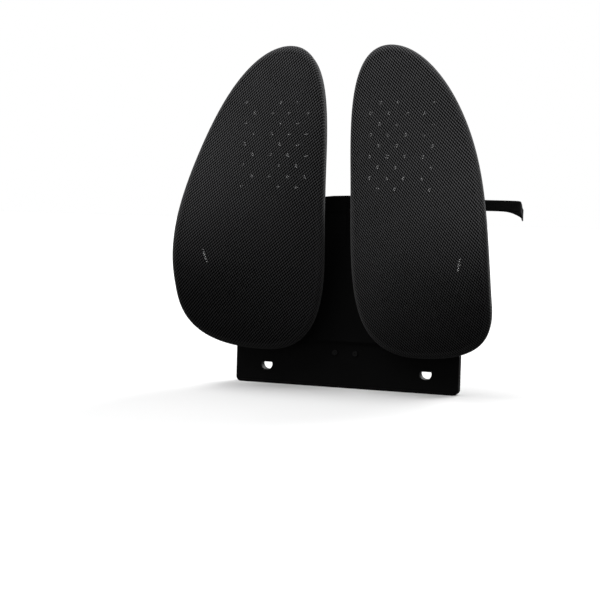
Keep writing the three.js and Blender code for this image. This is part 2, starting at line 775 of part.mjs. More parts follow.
// The strap's line on one side: out from the loop's bar, round the edge and in behind to "end".
function strapLine(end) {
  const { edgeX, rearY, corner, barX, barY } = STRAP;
  const line = new THREE.CurvePath();
  const at = (x, y) => new THREE.Vector2(x, y);
  const frontY = -0.5;
  line.add(new THREE.LineCurve(at(barX + 8, barY), at(edgeX - 35, frontY - 1.5)));
  const bend = (a, b, c) => line.add(new THREE.QuadraticBezierCurve(at(...a), at(...b), at(...c)));
  bend([edgeX - 35, frontY - 1.5], [edgeX, frontY], [edgeX, corner]);
  for (let y = corner; y < rearY - corner; y += 2) {
    line.add(new THREE.LineCurve(at(edgeX, y), at(edgeX, y + 2)));
  }
  bend([edgeX, rearY - corner], [edgeX, rearY], [edgeX - corner, rearY]);
  const level = edgeX - 3 * corner;
  for (let x = edgeX - corner; x > level; x -= 4) {
    line.add(new THREE.LineCurve(at(x, rearY), at(x - 4, rearY)));
  }
  line.add(new THREE.LineCurve(at(level, rearY), at(end, rearY)));
  return line.getPoints(8);
}

// The end that is folded round the loop's bar and sewn to itself.
function foldedEnd() {
  const { barX, barY, thickness, height, width } = STRAP;
  const outer = roundedRectangle([barX - 7, barX + 9], [barY - 4, barY + 4], 3.9);
  const inner = roundedRectangle([barX - 7 + thickness, barX + 7.5], [barY - 2.5, barY + 2.5], 2.4);
  const z = [height - width / 2, height + width / 2];
  return cut(slab(outer, z, 5), slab(inner, [0, 2 * height], 5));
}

// Lets a strap's solid sag beside the backrest.
function lowered(manifold) {
  return manifold.warp((p) => {
    p[2] -= strapSag(p[0], p[1]);
  });
}

function weave(x) {
  const near = 1.6 * (1 - Math.abs(x - SLIDER.x) / 8);
  return SLIDER.lift * THREE.MathUtils.smoothstep(near, 0, 1);
}

// One side's strap. The left one passes over the slider's middle bar on its way to the buckle.
function strap(end, throughSlider) {
  const line = strapLine(end);
  if (throughSlider) {
    const last = line.pop();
    for (let x = SLIDER.x + 12; x >= SLIDER.x - 12; x -= 2) {
      line.push(new THREE.Vector2(x, STRAP.rearY + weave(x)));
    }
    line.push(last);
  }
  return lowered(join(ribbon(line), foldedEnd()));
}

function slider() {
  const { x, halfWidth, halfHeight, bar, lift, slotHalfHeight } = SLIDER;
  const z = STRAP.height;
  const y = STRAP.rearY + lift / 2;
  const depth = [y - 1, y + 1];
  const outside = roundedRectangle([x - halfWidth, x + halfWidth], [z - halfHeight, z + halfHeight], 3);
  const frame = panel(outside, depth, 3);
  const slots = [-1, 1].map((side) => {
    const across = [side * bar, side * (halfWidth - bar)].sort((a, b) => a - b).map((v) => x + v);
    return box(across, [0, 100], [z - slotHalfHeight, z + slotHalfHeight]);
  });
  return cut(frame, ...slots);
}

// The socket half of the side-release buckle: a flat box, open at one end and at both sides.
function buckleSocket() {
  const { split, halfHeight, halfDepth, length, cavity: deep, tail: inset } = BUCKLE;
  const y = STRAP.rearY;
  const z = STRAP.height;
  const outside = roundedRectangle([-split, length - split], [z - halfHeight, z + halfHeight], 4);
  const cavity = box([-split - 1, deep], [y - 2.6, y + 2.6], [z - 10, z + 10]);
  const windows = box([0, 10], [y - 2.6, y + 2.6], [z - 20, z + 20]);
  const tail = box([split + inset, 60], [y - 1.4, y + 1.4], [z - 9, z + 9]);
  const body = panel(outside, [y - halfDepth, y + halfDepth], 4);
  return cut(body, cavity, windows, tail).translate([BUCKLE.x, 0, 0]);
}

// The plug half: a block that takes the strap and two springy prongs that catch in the windows.
function bucklePlug() {
  const { split, halfHeight, halfDepth, plug, tail: inset } = BUCKLE;
  const y = STRAP.rearY;
  const z = STRAP.height;
  const outside = roundedRectangle([-split - plug, -split - GAP], [z - halfHeight, z + halfHeight], 4);
  const block = panel(outside, [y - halfDepth, y + halfDepth], 4);
  const tail = box([-60, -split - inset], [y - 1.4, y + 1.4], [z - 9, z + 9]);
  const guide = box([-split - 2, 8], [y - 2, y + 2], [z - 2, z + 2]);
  const prongs = [-1, 1].map((side) => {
    const points = [
      [-split - 2, 5],
      [8, 6],
      [8, 10.5],
      [2, 12.4],
      [2, 9.4],
      [-split - 2, 8.4],
    ];
    const shape = polygon(points.map(([px, pz]) => [px, z + side * pz]));
    return panel(shape, [y - 2.2, y + 2.2]);
  });
  return join(cut(block, tail), guide, ...prongs).translate([BUCKLE.x, 0, 0]);
}

// ---- Assembly ----

// One side's pieces, built for the viewer's right.
function side(label) {
  const group = new THREE.Group();
  const add = (name, manifold, finish) => group.add(piece(`${name}_${label}`, manifold, finish));
  add("wing_cover", wingCover(), "fabric");
  add("wing_shell", wingShell(), "plastic");
  add("cover_retainer", coverRetainer(), "plastic");
  add("wing_hub", wingHub(), "plastic");
  add("swing_arm", swingArm(), "plastic");
  add("tilt_pin", pitchPin(), "steel");
  add("tilt_bush", pitchBush(), "rubber");
  add("swing_pin", yawPin(), "steel");
  add("swing_bush", yawBush(), "rubber");
  add("pin_clip", yawClip(), "steel");
  add("pivot_block", pivotBlock(), "plastic");
  add("grip_pad", gripPad(PAD.sideWidth, PAD.sideX), "rubber");
  add("strap_loop", strapLoop(), "plastic");
  add("loop_screw", screw(LOOP.screwX, LOOP.screwZ, LOOP.rear, 9, -1), "steel");
  add("spine_screw", screw(COVER_SCREW.x, COVER_SCREW.z, PLATE.footFront, 12), "steel");
  blockScrewPlaces().forEach(([x, z], i) => {
    const seat = PLATE.bodyFront - GAP - BLOCK.base;
    add(`block_screw_${i + 1}`, screw(x, z, seat, 15), "steel");
  });
  hubScrewPlaces.forEach(([x, z], i) => {
    add(`hub_screw_${i + 1}`, fromHub(screw(x, z, HUB.rear, 8.6, -1)), "steel");
  });
  return group;
}

const support = new THREE.Group();
support.add(piece("back_plate", backPlate(), "plastic"));
support.add(piece("spine_cover", spineCover(), "plastic"));
support.add(piece("rear_cover", rearCover(), "plastic"));
support.add(piece("grip_pad_centre", gripPad(PAD.centreWidth, 0), "rubber"));
support.add(side("right"));

const left = side("left");
left.scale.x = -1;
const tailEnd = BUCKLE.split + BUCKLE.tail + GAP;
left.add(piece("strap_left", strap(tailEnd - BUCKLE.x, true), "webbing"));
support.add(left);

support.add(piece("strap_right", strap(tailEnd + BUCKLE.x, false), "webbing"));
support.add(piece("buckle_socket", buckleSocket(), "plastic"));
support.add(piece("buckle_plug", bucklePlug(), "plastic"));
const strapSlider = piece("strap_slider", slider(), "plastic");
strapSlider.scale.x = -1;
support.add(strapSlider);
support.position.z = -ORIGIN_HEIGHT;

export default support;
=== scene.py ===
"""A back support with two mesh wings, seen from the front and a little to its right. Metres, +Z up."""

import math

import bmesh
import bpy
import numpy as np
from mathutils import Matrix, Vector


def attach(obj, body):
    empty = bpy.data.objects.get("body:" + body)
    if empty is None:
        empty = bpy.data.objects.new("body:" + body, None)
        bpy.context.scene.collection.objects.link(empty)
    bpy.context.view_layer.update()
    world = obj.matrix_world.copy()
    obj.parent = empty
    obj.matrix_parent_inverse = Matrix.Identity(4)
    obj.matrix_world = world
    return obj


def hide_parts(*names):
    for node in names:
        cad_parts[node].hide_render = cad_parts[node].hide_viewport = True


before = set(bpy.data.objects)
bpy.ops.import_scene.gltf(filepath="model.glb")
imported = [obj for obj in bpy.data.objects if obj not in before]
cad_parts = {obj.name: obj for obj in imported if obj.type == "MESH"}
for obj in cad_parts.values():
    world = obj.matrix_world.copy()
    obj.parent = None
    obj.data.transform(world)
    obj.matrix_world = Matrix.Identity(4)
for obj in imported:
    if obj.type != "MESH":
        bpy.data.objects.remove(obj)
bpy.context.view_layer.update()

MM = 0.001
LOWERED = 140  # the origin's height above the plate's bottom edge, in mm

# Shapes are in millimetres, with depths from the bearing face and heights from the plate's bottom edge.

# The wing's outline, as in the CAD: its outermost points, its middle, and the reach of each curve's
# handles from those points.
TOP, OUTER, BOTTOM, INNER, CENTRE = (71, 476), (222, 146), (111, 52), (19, 275), (112, 225)
TOP_OUT, OUTER_UP, OUTER_DOWN, BOTTOM_OUT = 67, 201, 31, 120
BOTTOM_IN, INNER_DOWN, INNER_LEAN, INNER_UP, TOP_IN = 101, 110, 1, 85, 63

# The wing's depth: its rim bows back towards the foot, curls back there, and hugs forward at its outer side.
RIM_AHEAD, BOW, BOW_TOP, BOW_HEIGHT = 84, 37, 430, 363
CURL, CURL_TOP, CURL_HEIGHT = 6, 110, 58
HUG_DEPTH, HUG_HEIGHT, HUG_ABOVE, HUG_BELOW = 61, 190, 140, 118
RIM_THICK, RIM_THICKER = 13, 8
CROWN, EDGE = 7, 9

# The cover's hem and its backing's edge: insets from the outline and places behind the rim.
HEM_TUCK, HEM_WIDTH = 3.0, 16
HEM_LIPS = ((3.6, -0.2, 17), (5.0, -0.1, 18.5))
BACKING_SINK, BACKING_EDGE = 2.4, ((3.4, 0.0), (4.2, 0.5), (4.9, 1.0))
RETAINER_SECTION = ((2.8, 0.3), (2.8, 1.6), (3.6, 2.5), (7.6, 2.6), (12.0, 2.5), (12.8, 1.6), (12.8, 0.3))

# The shell, with the boss and ribs on its back and the openings in it.
SHELL_INSET, SHELL_SINK, SHEET = 5.4, 1, 3.0
SHEET_MIDDLE = SHELL_SINK + SHEET / 2
PITCH, TURN = (108, -70, 205), math.radians(-16.6)
BOSS_RADIUS, BOSS_REAR, BOSS_CHAMFER = 30, -16, 0.8
RIB_ANGLES = (18, 90, 162, 234, 306)
RIB = {"start": 24, "end": 320, "step": 3.0, "off_rim": 8}
RIB_HEIGHT, RIB_FALL, RIB_HALF, RIB_TAPER = 11, 3.0, 1.3, 0.7
VENTS = {"across": 25, "up": 14.5, "shift": 4, "off_rim": 26, "off_boss": 7, "off_ribs": 5, "radius": 2.6}
VENTS_END, VENTS_LOW, VENTS_HIGH = 141, 262, 408
SLOT = {"at": (179, 185), "half_width": 2.3, "half_height": 9.5, "lean": 14}
ROD_LENGTH, ROD_BEHIND = 30, 3
BEVEL_ANGLE, SMOOTH_ANGLE = 35, 32  # in degrees

# The strap: its width, its height, its places beside and behind the backrest, and its sag at the edge.
STRAP = {"width": 15, "height": 265, "edge": 238, "rear": 42, "corner": 14, "bar": 160.5}
STRAP_HALF_THICK, FOLD_RADIUS = 0.7, 3.3
BAR_DEPTH, FRONT_DEPTH, FLAT_END = -6.5, -2.0, 35
SAG, SAG_AT, SAG_REACH, SAG_REACH_BEHIND = 13, 30, 14, 16
CREASE, CREASE_AT, CREASE_BEHIND, CREASE_BESIDE = 0.9, 6, 9, 16
SLIDER_X, SLIDER_REACH, SLIDER_RISE = -92, 14, 4.4
BUCKLE_X, TAIL = 62, 18.3


# ---- Materials ----


class Nodes:
    """A small helper that adds and links a material's nodes."""

    def __init__(self, name):
        self.material = bpy.data.materials.new(name)
        self.material.use_nodes = True
        self.tree = self.material.node_tree
        self.shader = self.tree.nodes["Principled BSDF"]

    def add(self, kind, **values):
        node = self.tree.nodes.new(kind)
        for key, value in values.items():
            setattr(node, key, value)
        return node

    def put(self, socket, value):
        if isinstance(value, bpy.types.NodeSocket):
            self.tree.links.new(value, socket)
        else:
            socket.default_value = value

    def math(self, operation, *values, clamp=False):
        node = self.add("ShaderNodeMath", operation=operation, use_clamp=clamp)
        for socket, value in zip(node.inputs, values):
            self.put(socket, value)
        return node.outputs[0]

    def mix(self, share, a, b):
        node = self.add("ShaderNodeMix", data_type="RGBA")
        self.put(node.inputs["Factor"], share)
        self.put(node.inputs["A"], a)
        self.put(node.inputs["B"], b)
        return node.outputs["Result"]

    def noise(self, scale, detail=3.0, vector=None):
        node = self.add("ShaderNodeTexNoise")
        node.inputs["Scale"].default_value = scale
        node.inputs["Detail"].default_value = detail
        self.put(node.inputs["Vector"], vector or self.place())
        return node.outputs["Fac"]

    def place(self):
        if not hasattr(self, "coordinates"):
            self.coordinates = self.add("ShaderNodeTexCoord")
        return self.coordinates.outputs["Object"]

    def stretched(self, x, y, z):
        node = self.add("ShaderNodeMapping")
        node.inputs["Scale"].default_value = (x, y, z)
        self.put(node.inputs["Vector"], self.place())
        return node.outputs["Vector"]

    def ramp(self, value, low, high, a=0.0, b=1.0):
        node = self.add("ShaderNodeMapRange")
        for socket, number in zip(node.inputs, (value, low, high, a, b)):
            self.put(socket, number)
        return node.outputs[0]

    def bump(self, height, distance, strength):
        node = self.add("ShaderNodeBump")
        node.inputs["Distance"].default_value = distance
        node.inputs["Strength"].default_value = strength
        self.put(node.inputs["Height"], height)
        self.put(self.shader.inputs["Normal"], node.outputs[0])

    def set(self, **values):
        """Sets or links the shader's sockets, whose names have underscores here for spaces."""
        for key, value in values.items():
            self.put(self.shader.inputs[key.replace("_", " ")], value)
        return self.material


def grey(value, blue=1.04):
    return (value, value, value * blue, 1.0)


def moulded(name, shade, roughness, grain, gloss):
    """Spark-eroded black plastic: a fine pebble grain, faint flow marks and slightly rubbed high spots."""
    n = Nodes(name)
    pebble = n.noise(grain, 2.0)
    cloud = n.noise(22, 4.0)
    scuff = n.ramp(n.noise(160, 5.0, n.stretched(1, 1, 5)), 0.62, 0.74)
    dust = n.ramp(n.noise(900, 2.0), 0.66, 0.8)
    tone = n.mix(cloud, grey(shade * 0.75), grey(shade * 1.3))
    tone = n.mix(n.math("MULTIPLY", scuff, 0.35), tone, grey(shade * 2.2))
    tone = n.mix(n.math("MULTIPLY", dust, 0.05), tone, grey(0.08))
    cloudy = n.ramp(cloud, 0.3, 0.7, roughness - 0.06, roughness + 0.06)
    rough = n.math("ADD", cloudy, n.math("MULTIPLY", scuff, -0.05))
    height = n.math("ADD", pebble, n.math("MULTIPLY", cloud, 0.4))
    n.bump(height, 0.00012, 0.5)
    n.shader.inputs["Specular IOR Level"].default_value = gloss
    return n.set(Base_Color=tone, Roughness=rough, IOR=1.47)


def rubbery(name):
    """Black soft rubber with fine cross-ribbing and a dusty bloom."""
    n = Nodes(name)
    parts = n.add("ShaderNodeSeparateXYZ")
    n.put(parts.inputs[0], n.place())
    rib = n.math("PINGPONG", n.math("MULTIPLY", parts.outputs[2], 1000 / 2.2), 0.5)
    bloom = n.noise(60, 5.0)
    tone = n.mix(n.ramp(bloom, 0.35, 0.75), grey(0.012), grey(0.035))
    tone = n.mix(n.math("MULTIPLY", rib, 0.5), tone, grey(0.05))
    n.bump(n.math("ADD", rib, n.math("MULTIPLY", n.noise(1500), 0.3)), 0.0004, 0.8)
    return n.set(Base_Color=tone, Roughness=n.ramp(bloom, 0.3, 0.7, 0.72, 0.92), IOR=1.5)


def zinc(name):
    """Dark zinc-plated steel: turned marks, small cloudy patches and bright rubbed spots."""
    n = Nodes(name)
    cloud = n.noise(400, 4.0)
    marks = n.noise(900, 2.0, n.stretched(1, 6, 1))
    tone = n.mix(cloud, grey(0.2), grey(0.42, 1.0))
    n.bump(marks, 0.00006, 0.6)
    return n.set(Base_Color=tone, Metallic=1.0, Roughness=n.ramp(cloud, 0.3, 0.7, 0.28, 0.5))


def blackened(name):
    """Black-oxide steel: nearly black, satin, with bare metal just showing on the rubbed rim."""
    n = Nodes(name)
    cloud = n.noise(500, 4.0)
    tone = n.mix(n.ramp(cloud, 0.55, 0.8, 0.0, 0.6), grey(0.003), grey(0.03))
    n.bump(n.noise(1200, 2.0), 0.00005, 0.6)
    n.shader.inputs["Specular IOR Level"].default_value = 0.4
    return n.set(Base_Color=tone, Metallic=0.2, Roughness=n.ramp(cloud, 0.3, 0.7, 0.35, 0.55))


def air_mesh(name, across, up, thread, hole, slant, sheen=0.12, open_holes=True):
    """Knitted air mesh on the surface's own flat coordinates: a staggered lattice of holes.

    The holes are see-through, or painted near-black where the mesh lies close on what it covers: partly that
    dark shell's own tone, partly painted shade.
    """
    n = Nodes(name)
    flat = n.add("ShaderNodeUVMap", uv_map="flat")
    wobble = n.add("ShaderNodeTexNoise")
    wobble.inputs["Scale"].default_value = 22
    n.put(wobble.inputs["Vector"], flat.outputs[0])
    shift = n.add("ShaderNodeVectorMath", operation="MULTIPLY_ADD")
    n.put(shift.inputs[0], wobble.outputs["Color"])
    shift.inputs[1].default_value = (0.0014, 0.001, 0)
    n.put(shift.inputs[2], flat.outputs[0])
    turn = n.add("ShaderNodeMapping", vector_type="TEXTURE")
    turn.inputs["Rotation"].default_value = (0, 0, slant)
    turn.inputs["Scale"].default_value = (across, up, 1)
    n.put(turn.inputs["Vector"], shift.outputs[0])
    parts = n.add("ShaderNodeSeparateXYZ")
    n.put(parts.inputs[0], turn.outputs[0])

    def away(offset):
        """How far this place is from the nearest hole, where the holes are longer along one diagonal."""
        du = n.math("WRAP", n.math("ADD", parts.outputs[0], offset), 0.5, -0.5)
        dv = n.math("WRAP", n.math("ADD", parts.outputs[1], offset), 0.5, -0.5)
        along = n.math("MULTIPLY", n.math("SUBTRACT", du, dv), ALONG_HOLES / math.sqrt(2))
        over = n.math("MULTIPLY", n.math("ADD", du, dv), ACROSS_HOLES / math.sqrt(2))
        return n.math("SQRT", n.math("ADD", n.math("MULTIPLY", along, along), n.math("MULTIPLY", over, over)))

    nearest = n.math("MINIMUM", away(0.0), away(0.5))
    solid = n.ramp(nearest, hole - 0.04, hole + 0.04)
    crest = n.ramp(nearest, hole, hole + 0.07)
    fibres = n.noise(2600, 2.0, flat.outputs[0])
    patches = n.noise(30, 3.0, flat.outputs[0])
    # Painted shade: the mesh's colour is scaled with its height, darker towards the bottom and lighter
    # towards the top, as light from above falls on it.
    height = n.add("ShaderNodeSeparateXYZ")
    n.put(height.inputs[0], n.place())
    painted_shade_by_height = n.ramp(height.outputs[2], -0.06, 0.32, 0.5, 1.4)
    # Painted shade and highlight: each thread is darkest at a hole's edge and lightest on its crest.
    tone = n.mix(crest, grey(thread * 0.1), grey(thread * 1.8))
    tone = n.mix(n.ramp(fibres, 0.35, 0.75, 0.0, 0.5), tone, grey(thread * 0.3))
    tone = n.mix(n.ramp(patches, 0.35, 0.7, 0.0, 0.2), tone, grey(thread * 1.6))
    # Painted near-black holes on the rim: partly the dark shell's own tone under them, partly painted shade.
    if not open_holes:
        tone = n.mix(solid, grey(thread * 0.05), tone)
    shade = n.add("ShaderNodeVectorMath", operation="SCALE")
    n.put(shade.inputs[0], tone)
    n.put(shade.inputs["Scale"], painted_shade_by_height)
    n.bump(n.math("ADD", crest, n.math("MULTIPLY", fibres, 0.25)), 0.0006, 0.8)
    n.set(Base_Color=shade.outputs[0], Roughness=0.85, IOR=1.45)
    if open_holes:
        n.set(Alpha=solid)
    n.shader.inputs["Specular IOR Level"].default_value = 0.2
    n.shader.inputs["Sheen Weight"].default_value = sheen
    n.shader.inputs["Sheen Roughness"].default_value = 0.5
    return n.material


def webbing(name, shade):
    """Woven elastic: fine cross ribs, lengthwise rubber cords and bound edges, on flat coordinates."""
    n = Nodes(name)
    flat = n.add("ShaderNodeUVMap", uv_map="flat")
    parts = n.add("ShaderNodeSeparateXYZ")
    n.put(parts.inputs[0], flat.outputs[0])
    along, over = parts.outputs[0], parts.outputs[1]
    rib = n.math("PINGPONG", n.math("MULTIPLY", along, 1 / 0.0011), 0.5)
    cord = n.math("PINGPONG", n.math("MULTIPLY", over, 1 / 0.0016), 0.5)
    edge = n.ramp(n.math("ABSOLUTE", over), 0.0058, 0.0066)
    fuzz = n.noise(3000, 3.0, flat.outputs[0])
    weave = n.math("MULTIPLY", n.math("ADD", rib, 0.35), n.math("ADD", cord, 0.5))
    tone = n.mix(n.math("MULTIPLY", weave, 1.4, clamp=True), grey(shade * 0.5), grey(shade * 1.7))
    tone = n.mix(n.math("MULTIPLY", edge, 0.5), tone, grey(shade * 0.6))
    tone = n.mix(n.ramp(fuzz, 0.55, 0.8, 0.0, 0.4), tone, grey(shade * 3.0))
    n.bump(n.math("ADD", weave, n.math("MULTIPLY", fuzz, 0.3)), 0.0004, 0.9)
    n.set(Base_Color=tone, Roughness=0.85)
    n.shader.inputs["Specular IOR Level"].default_value = 0.15
    n.shader.inputs["Sheen Weight"].default_value = 0.04
    return n.material


def matte(name, colour, variation):
    """A plain dull surface, faintly uneven in tone."""
    n = Nodes(name)
    cloud = n.noise(1.2, 3.0)
    tone = n.mix(cloud, (*[c * (1 - variation) for c in colour], 1), (*colour, 1))
    return n.set(Base_Color=tone, Roughness=0.9)


WEAVE_SLANT = math.radians(14)
ALONG_HOLES, ACROSS_HOLES = 0.88, 1.09
PLATE_PLASTIC = moulded("plate plastic", 0.0025, 0.5, 2600, 0.12)
SHELL_PLASTIC = moulded("shell plastic", 0.007, 0.6, 1800, 0.3)
RUBBER = rubbery("grip rubber")
STEEL = zinc("zinc steel")
BLACK_STEEL = blackened("black steel")
KNIT = {"across": 0.0037, "up": 0.0058, "thread": 0.06, "hole": 0.28, "slant": WEAVE_SLANT}
FABRIC = air_mesh("air mesh", **KNIT)
EDGE_FABRIC = air_mesh("air mesh on the rim", **KNIT, open_holes=False)
BACKING = air_mesh("air mesh backing", 0.0026, 0.0034, 0.004, 0.105, -WEAVE_SLANT, 0.0)
ELASTIC = webbing("woven elastic", 0.004)


# ---- Wing shapes ----


def bezier(a, b, c, d, count):
    """Points on a cubic curve, without its last one."""
    t = np.linspace(0, 1, count, endpoint=False)[:, None]
    a, b, c, d = (np.array(p, float) for p in (a, b, c, d))
    return (1 - t) ** 3 * a + 3 * (1 - t) ** 2 * t * b + 3 * (1 - t) * t**2 * c + t**3 * d


def length_along(points):
    """How far along a line each of its points is."""
    return np.concatenate([[0], np.cumsum(np.linalg.norm(np.diff(points, axis=0), axis=1))])


def wing_outline(count):
    """Points at an even spacing round the wing's outline, seen from the front."""
    spans = (
        (TOP, (TOP[0] + TOP_OUT, TOP[1]), (OUTER[0], OUTER[1] + OUTER_UP), OUTER),
        (OUTER, (OUTER[0], OUTER[1] - OUTER_DOWN), (BOTTOM[0] + BOTTOM_OUT, BOTTOM[1]), BOTTOM),
        (BOTTOM, (BOTTOM[0] - BOTTOM_IN, BOTTOM[1]), (INNER[0] + INNER_LEAN, INNER[1] - INNER_DOWN), INNER),
        (INNER, (INNER[0], INNER[1] + INNER_UP), (TOP[0] - TOP_IN, TOP[1]), TOP),
    )
    fine = np.vstack([bezier(*span, 300) for span in spans] + [np.array([TOP], float)])
    run = length_along(fine)
    at = np.linspace(0, run[-1], count, endpoint=False)
    return np.column_stack([np.interp(at, run, fine[:, 0]), np.interp(at, run, fine[:, 1])])


def hug(z):
    """How much the wing hugs forward at a height, up to 1 at the waist."""
    fall = np.where(z > HUG_HEIGHT, HUG_ABOVE, HUG_BELOW)
    return np.exp(-(((z - HUG_HEIGHT) / fall) ** 2))


def across_share(x):
    """How far across the wing a place is, from 0 at its inner side to 1 at its outer side."""
    return (x - INNER[0]) / (OUTER[0] - INNER[0])


def rim_depth(x, z):
    """The depth of the surface that the wing's layers are set off from. Its rim lies in it."""
    bow = BOW * ((BOW_TOP - z) / BOW_HEIGHT) ** 2
    curl = CURL * (np.maximum(0, CURL_TOP - z) / CURL_HEIGHT) ** 2
    return bow + curl - RIM_AHEAD - HUG_DEPTH * hug(z) * across_share(x)


def rim_thickness(x, z):
    """The depth of the shell's turned-back flange."""
    return RIM_THICK + RIM_THICKER * hug(z) * across_share(x)


def row(x, y, z):
    """Millimetres to the frame's metres."""
    return np.column_stack([x, y, z - LOWERED]) * MM


def ring(outline, share, inset, ahead, back=0.0):
    """A share of the outline less an inset, some way ahead of the rim or back along the flange."""
    off = outline - np.array(CENTRE)
    radius = np.linalg.norm(off, axis=1)
    place = np.array(CENTRE) + off * ((radius * share - inset) / radius)[:, None]
    x, z = place[:, 0], place[:, 1]
    return np.column_stack([x, rim_depth(x, z) - ahead + back * rim_thickness(x, z), z])


def linked(name, data):
    """A new object in the scene, with this mesh, camera or light."""
    made = bpy.data.objects.new(name, data)
    bpy.context.collection.objects.link(made)
    return made


def object_from(b, name, materials=()):
    """A new object from a bmesh, which is freed."""
    mesh = bpy.data.meshes.new(name)
    b.to_mesh(mesh)
    b.free()
    for material in materials:
        mesh.materials.append(material)
    return linked(name, mesh)


def mesh_of(name, vertices, faces, materials, uv=None, smooth=True):
    """A new object from points in metres and faces, with its flat coordinates."""
    mesh = bpy.data.meshes.new(name)
    mesh.from_pydata([tuple(v) for v in vertices], [], [tuple(f) for f in faces])
    if uv is not None:
        layer = mesh.uv_layers.new(name="flat")
        for loop in mesh.loops:
            layer.data[loop.index].uv = uv[loop.vertex_index]
    for material in materials:
        mesh.materials.append(material)
    mesh.polygons.foreach_set("use_smooth", [smooth] * len(mesh.polygons))
    mesh.update()
    return linked(name, mesh)


def mirrored(piece, name):
    """A copy of a piece for the other side, mirrored in its mesh and turned right side out."""
    mesh = piece.data.copy()
    mesh.transform(Matrix.Diagonal((-1, 1, 1, 1)))
    mesh.flip_normals()
    mesh.update()
    return linked(name, mesh)


def lofted(name, rings, flats, materials, closed=False, cap=None, material_of=None):
    """A surface over rings of points, with flat coordinates for its weave."""
    count = len(rings[0])
    vertices = np.vstack(rings)
    flat = np.vstack(flats)
    faces, kinds = [], []
    bands = len(rings) if closed else len(rings) - 1
    for r in range(bands):
        a, b = r * count, (r + 1) % len(rings) * count
        for i in range(count):
            j = (i + 1) % count
            faces.append((a + i, a + j, b + j, b + i))
            kinds.append(material_of(r) if material_of else 0)
    if cap is not None:
        middle, middle_flat = cap
        vertices = np.vstack([vertices, middle])
        flat = np.vstack([flat, middle_flat])
        for i in range(count):
            faces.append((len(vertices) - 1, (i + 1) % count, i))
            kinds.append(0)
    points = row(vertices[:, 0], vertices[:, 1], vertices[:, 2])
    piece = mesh_of(name, points, faces, materials, flat * MM)
    piece.data.polygons.foreach_set("material_index", kinds)
    return piece


def front_rings(outline, sink, shares):
    """The crowned front's rings, sunk behind the cover's face by some millimetres."""
    return [ring(outline, s, EDGE * s + sink * s, EDGE + CROWN * (1 - s**2) - sink) for s in shares]


def wing_cover(name):
    """The mesh cover: a softly crowned front that rolls over the rim and hems behind the flange."""
    outline = wing_outline(240)
    centre = np.array(CENTRE, float)
    off = outline - centre
    outward = off / np.linalg.norm(off, axis=1)[:, None]
    rings = front_rings(outline, 0, np.concatenate([np.linspace(0.06, 0.9, 15), np.linspace(0.92, 0.995, 6)]))
    flats = [points[:, [0, 2]] for points in rings]
    roll = len(rings)
    run = 0.0

    def add(points, beyond):
        rings.append(points)
        flats.append(outline + outward * (beyond - EDGE))

    for angle in np.linspace(0, 90, 10):
        a = math.radians(angle)
        run = EDGE * a
        add(ring(outline, 1.0, EDGE * (1 - math.sin(a)), EDGE * math.cos(a)), run)
    for share in (0.2, 0.4, 0.6, 0.8, 1.0):
        add(ring(outline, 1.0, HEM_TUCK * share**1.5, 0.0, share), run + HEM_WIDTH * share)
    for inset, ahead, beyond in HEM_LIPS:
        add(ring(outline, 1.0, inset, ahead, 1.0), run + beyond)
    middle = np.array([[centre[0], rim_depth(*centre) - EDGE - CROWN, centre[1]]])
    fabrics, cap = [FABRIC, EDGE_FABRIC], (middle, centre[None])
    return lofted(name, rings, flats, fabrics, cap=cap, material_of=lambda r: int(r >= roll))


def wing_backing(name):
    """The spacer mesh's rear face, a little behind the front one and knitted finer."""
    outline = wing_outline(160)
    centre = np.array(CENTRE, float)
    rings = front_rings(outline, BACKING_SINK, np.linspace(0.08, 1.0, 14))
    rings += [ring(outline, 1.0, inset, 0.0, back) for inset, back in BACKING_EDGE]
    middle = np.array([[centre[0], rim_depth(*centre) - EDGE - CROWN + BACKING_SINK, centre[1]]])
    flats = [points[:, [0, 2]] for points in rings]
    return lofted(name, rings, flats, [BACKING], cap=(middle, centre[None]))


def inside(places, outline):
    """Which places lie inside the outline, and how far each is from it."""
    after = np.roll(outline, -1, axis=0)
    step = after - outline
    within, away = [], []
    for x, z in places:
        crosses = (outline[:, 1] > z) != (after[:, 1] > z)
        at = outline[:, 0] + (z - outline[:, 1]) / (step[:, 1] + 1e-9) * step[:, 0]
        within.append(np.count_nonzero(crosses & (x < at)) % 2 == 1)
        away.append(np.min(np.hypot(outline[:, 0] - x, outline[:, 1] - z)))
    return within, away


def off_ribs(x, z, clear):
    """Whether a place keeps clear of every rib."""
    for degrees in RIB_ANGLES:
        c, s = math.cos(math.radians(degrees)), math.sin(math.radians(degrees))
        along = (x - PITCH[0]) * c + (z - PITCH[2]) * s
        off = (z - PITCH[2]) * c - (x - PITCH[0]) * s
        if along > 0 and abs(off) < clear:
            return False
    return True


def vent_places(outline):
    """The vents' places: a staggered lattice, clear of the rim, the hub's boss and the ribs."""
    first, across, up = CENTRE[0] - VENTS["shift"], VENTS["across"], VENTS["up"]
    places = [
        (first + (column + 0.5 * (line % 2)) * across, CENTRE[1] + line * up)
        for line in range(-12, 16)
        for column in range(-6, 3)
    ]
    keep = []
    for (x, z), within, gap in zip(places, *inside(places, outline)):
        off_hub = math.hypot(x - PITCH[0], z - PITCH[2]) > BOSS_RADIUS + VENTS["off_boss"]
        placed = x < VENTS_END and VENTS_LOW < z < VENTS_HIGH
        if within and placed and gap > VENTS["off_rim"] and off_hub and off_ribs(x, z, VENTS["off_ribs"]):
            keep.append((x, z))
    return keep


def add_rod(b, x, z, radius, segments, lean=0, stretch=(1, 1)):
    """A rod through the shell at a place, round or stretched, for the cut."""
    place = Matrix.Translation(Vector((x, float(rim_depth(x, z)) + ROD_BEHIND, z - LOWERED)) * MM)
    turn = Matrix.Rotation(math.radians(lean), 4, "Y") @ Matrix.Rotation(math.pi / 2, 4, "X")
    bmesh.ops.create_cone(
        b,
        cap_ends=True,
        segments=segments,
        radius1=radius * MM,
        radius2=radius * MM,
        depth=ROD_LENGTH * MM,
        matrix=place @ turn @ Matrix.Diagonal((*stretch, 1, 1)),
    )


